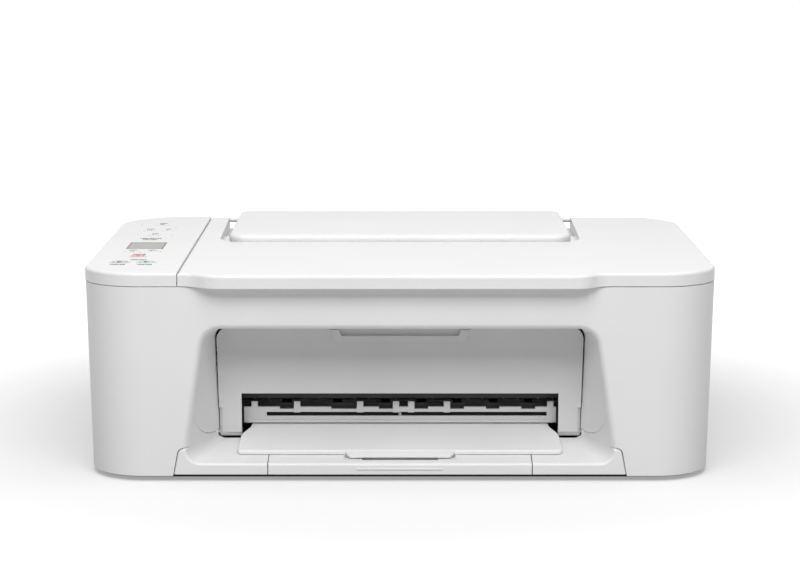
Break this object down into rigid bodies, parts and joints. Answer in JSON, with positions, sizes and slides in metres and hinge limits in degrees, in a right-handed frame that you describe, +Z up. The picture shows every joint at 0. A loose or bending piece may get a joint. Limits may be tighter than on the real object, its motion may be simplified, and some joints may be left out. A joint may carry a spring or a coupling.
{
  "type": "multifunction printer",
  "caption": "Compact inkjet multifunction printer with a flatbed scanner, rear paper feed, recessed front output tray and a control panel strip along the left of the top.",
  "frame": {"origin": "middle of the footprint, on the surface that the feet stand on", "axes": "X along the width with the control panel on -X, Y from the front to the back, Z up"},
  "size_m": [0.435, 0.316, 0.149],
  "materials": {
    "white_shell": "fine satin moulded plastic",
    "grey_cover": "light grey moulded plastic",
    "base_black": "black moulded plastic",
    "lcd": "display window",
    "platen_glass": "clear float glass",
    "pad_white": "white film over foam",
    "steel": "zinc plated sheet and ground rod",
    "roller_rubber": "grey rubber sleeves on a shaft",
    "gear_plastic": "natural acetal",
    "belt_rubber": "black toothed belt",
    "motor_can": "drawn steel can",
    "cartridge": "glossy black plastic",
    "board_green": "circuit board",
    "supply": "ribbed plastic box",
    "foot_rubber": "soft rubber"
  },
  "bodies": {
    "printer_body": {"bottom_case": "base_black", "main_case": "white_shell", "left_base_front": "white_shell", "right_base_front": "white_shell", "operation_panel": "white_shell", "lcd_window": "lcd", "scanner_housing": "base_black", "platen_frame": "white_shell", "platen_glass": "platen_glass", "scan_rod": "steel", "rear_deck": "white_shell", "rear_tray": "grey_cover", "exit_guide": "grey_cover", "platen": "base_black", "spur_holder": "base_black", "pinch_holder": "base_black", "drive_belt": "belt_rubber", "feed_motor": "motor_can", "chassis": "steel", "carriage_rod": "steel", "carriage_belt": "belt_rubber", "carriage_motor": "motor_can", "purge_unit": "base_black", "logic_board": "board_green", "power_supply": "supply", "power_inlet": "base_black", "rubber_feet": "foot_rubber", "case_screws": "steel"},
    "document_cover": {"document_cover": "white_shell", "platen_pad": "pad_white"},
    "paper_support": {"paper_support": "white_shell"},
    "scan_bar": {"scan_bar": "base_black"},
    "left_paper_guide": {"left_paper_guide": "grey_cover"},
    "right_paper_guide": {"right_paper_guide": "grey_cover"},
    "guide_pinion": {"guide_pinion": "gear_plastic"},
    "access_cover": {"access_cover": "grey_cover"},
    "output_tray": {"output_tray": "white_shell"},
    "output_extension": {"output_extension": "white_shell"},
    "feed_roller": {"feed_roller": "roller_rubber"},
    "exit_roller": {"exit_roller": "roller_rubber"},
    "pickup_roller": {"pickup_roller": "roller_rubber"},
    "pinch_rollers": {"pinch_rollers": "roller_rubber"},
    "star_wheels": {"star_wheels": "steel"},
    "feed_pinion": {"feed_pinion": "gear_plastic"},
    "carriage": {"carriage": "base_black", "black_cartridge": "cartridge", "color_cartridge": "cartridge"},
    "black_lock": {"black_lock": "cartridge"},
    "color_lock": {"color_lock": "cartridge"},
    "motor_pulley": {"motor_pulley": "gear_plastic"},
    "idler_pulley": {"idler_pulley": "gear_plastic"},
    "power_button": {"power_button": "white_shell"},
    "network_button": {"network_button": "white_shell"},
    "information_button": {"information_button": "white_shell"},
    "direct_button": {"direct_button": "white_shell"},
    "paper_button": {"paper_button": "white_shell"},
    "plus_button": {"plus_button": "white_shell"},
    "stop_button": {"stop_button": "white_shell"},
    "black_start_button": {"black_start_button": "white_shell"},
    "color_start_button": {"color_start_button": "white_shell"}
  },
  "joints": [
    {"name": "cover_hinge", "type": "hinge", "parent": "printer_body", "child": "document_cover", "pos_m": [0, 0.1495, 0.1394], "axis": [-1, 0, 0], "range_deg": [0, 80]},
    {"name": "support_hinge", "type": "hinge", "parent": "document_cover", "child": "paper_support", "pos_m": [0, 0.151, 0.142], "axis": [-1, 0, 0], "range_deg": [0, 105]},
    {"name": "scan_slide", "type": "slide", "parent": "printer_body", "child": "scan_bar", "axis": [1, 0, 0], "range_m": [0, 0.28]},
    {"name": "left_guide_slide", "type": "slide", "parent": "printer_body", "child": "left_paper_guide", "axis": [1, 0, 0], "range_m": [0, 0.054]},
    {"name": "right_guide_slide", "type": "slide", "parent": "printer_body", "child": "right_paper_guide", "axis": [-1, 0, 0], "range_m": [0, 0.054]},
    {"name": "guide_pinion_spin", "type": "hinge", "parent": "printer_body", "child": "guide_pinion", "pos_m": [0, 0.10935, 0.09843], "axis": [0, -0.7282, 0.6854], "range_deg": [0, 500]},
    {"name": "access_hinge", "type": "hinge", "parent": "printer_body", "child": "access_cover", "pos_m": [0, -0.0956, 0.024], "axis": [1, 0, 0], "range_deg": [0, 74]},
    {"name": "tray_slide", "type": "slide", "parent": "printer_body", "child": "output_tray", "axis": [0, -1, 0], "range_m": [0, 0.095]},
    {"name": "extension_slide", "type": "slide", "parent": "output_tray", "child": "output_extension", "axis": [0, -1, 0], "range_m": [0, 0.1]},
    {"name": "feed_spin", "type": "hinge", "parent": "printer_body", "child": "feed_roller", "pos_m": [0, 0.034, 0.0365], "axis": [1, 0, 0], "continuous": true},
    {"name": "exit_spin", "type": "hinge", "parent": "printer_body", "child": "exit_roller", "pos_m": [0, -0.074, 0.0365], "axis": [1, 0, 0], "continuous": true},
    {"name": "pickup_spin", "type": "hinge", "parent": "printer_body", "child": "pickup_roller", "pos_m": [0, 0.06242, 0.07119], "axis": [1, 0, 0], "continuous": true},
    {"name": "pinch_spin", "type": "hinge", "parent": "printer_body", "child": "pinch_rollers", "pos_m": [0, 0.034, 0.04665], "axis": [1, 0, 0], "continuous": true},
    {"name": "star_spin", "type": "hinge", "parent": "printer_body", "child": "star_wheels", "pos_m": [0, -0.074, 0.04665], "axis": [1, 0, 0], "continuous": true},
    {"name": "feed_pinion_spin", "type": "hinge", "parent": "printer_body", "child": "feed_pinion", "pos_m": [-0.1685, 0.05655, 0.02829], "axis": [1, 0, 0], "continuous": true},
    {"name": "carriage_slide", "type": "slide", "parent": "printer_body", "child": "carriage", "axis": [-1, 0, 0], "range_m": [0, 0.273]},
    {"name": "black_lock_hinge", "type": "hinge", "parent": "carriage", "child": "black_lock", "pos_m": [0.169, 0.002, 0.0934], "axis": [-1, 0, 0], "range_deg": [0, 14]},
    {"name": "color_lock_hinge", "type": "hinge", "parent": "carriage", "child": "color_lock", "pos_m": [0.131, 0.002, 0.0934], "axis": [-1, 0, 0], "range_deg": [0, 14]},
    {"name": "motor_pulley_spin", "type": "hinge", "parent": "printer_body", "child": "motor_pulley", "pos_m": [-0.15, 0.02, 0.08], "axis": [0, 1, 0], "continuous": true},
    {"name": "idler_pulley_spin", "type": "hinge", "parent": "printer_body", "child": "idler_pulley", "pos_m": [0.182, 0.02, 0.08], "axis": [0, 1, 0], "continuous": true},
    {"name": "power_press", "type": "slide", "parent": "printer_body", "child": "power_button", "axis": [0, 0, -1], "range_m": [0, 0.0007], "stiffness_N_per_m": 900},
    {"name": "network_press", "type": "slide", "parent": "printer_body", "child": "network_button", "axis": [0, 0, -1], "range_m": [0, 0.0007], "stiffness_N_per_m": 900},
    {"name": "information_press", "type": "slide", "parent": "printer_body", "child": "information_button", "axis": [0, 0, -1], "range_m": [0, 0.0007], "stiffness_N_per_m": 900},
    {"name": "direct_press", "type": "slide", "parent": "printer_body", "child": "direct_button", "axis": [0, 0, -1], "range_m": [0, 0.0007], "stiffness_N_per_m": 900},
    {"name": "paper_press", "type": "slide", "parent": "printer_body", "child": "paper_button", "axis": [0, 0, -1], "range_m": [0, 0.0007], "stiffness_N_per_m": 900},
    {"name": "plus_press", "type": "slide", "parent": "printer_body", "child": "plus_button", "axis": [0, 0, -1], "range_m": [0, 0.0007], "stiffness_N_per_m": 900},
    {"name": "stop_press", "type": "slide", "parent": "printer_body", "child": "stop_button", "axis": [0, 0, -1], "range_m": [0, 0.0007], "stiffness_N_per_m": 900},
    {"name": "black_start_press", "type": "slide", "parent": "printer_body", "child": "black_start_button", "axis": [0, 0, -1], "range_m": [0, 0.0007], "stiffness_N_per_m": 900},
    {"name": "color_start_press", "type": "slide", "parent": "printer_body", "child": "color_start_button", "axis": [0, 0, -1], "range_m": [0, 0.0007], "stiffness_N_per_m": 900}
  ],
  "couplings": [
    {"joint": "right_guide_slide", "follows": "left_guide_slide", "ratio": 1},
    {"joint": "guide_pinion_spin", "follows": "left_guide_slide", "rad_per_m": 158.73},
    {"joint": "exit_spin", "follows": "feed_spin", "ratio": 1},
    {"joint": "pickup_spin", "follows": "feed_spin", "ratio": -0.7352},
    {"joint": "pinch_spin", "follows": "feed_spin", "ratio": -1.5},
    {"joint": "star_spin", "follows": "feed_spin", "ratio": -1.5},
    {"joint": "feed_pinion_spin", "follows": "feed_spin", "ratio": -3.8},
    {"joint": "motor_pulley_spin", "follows": "carriage_slide", "rad_per_m": 151.52},
    {"joint": "idler_pulley_spin", "follows": "carriage_slide", "rad_per_m": 151.52}
  ]
}
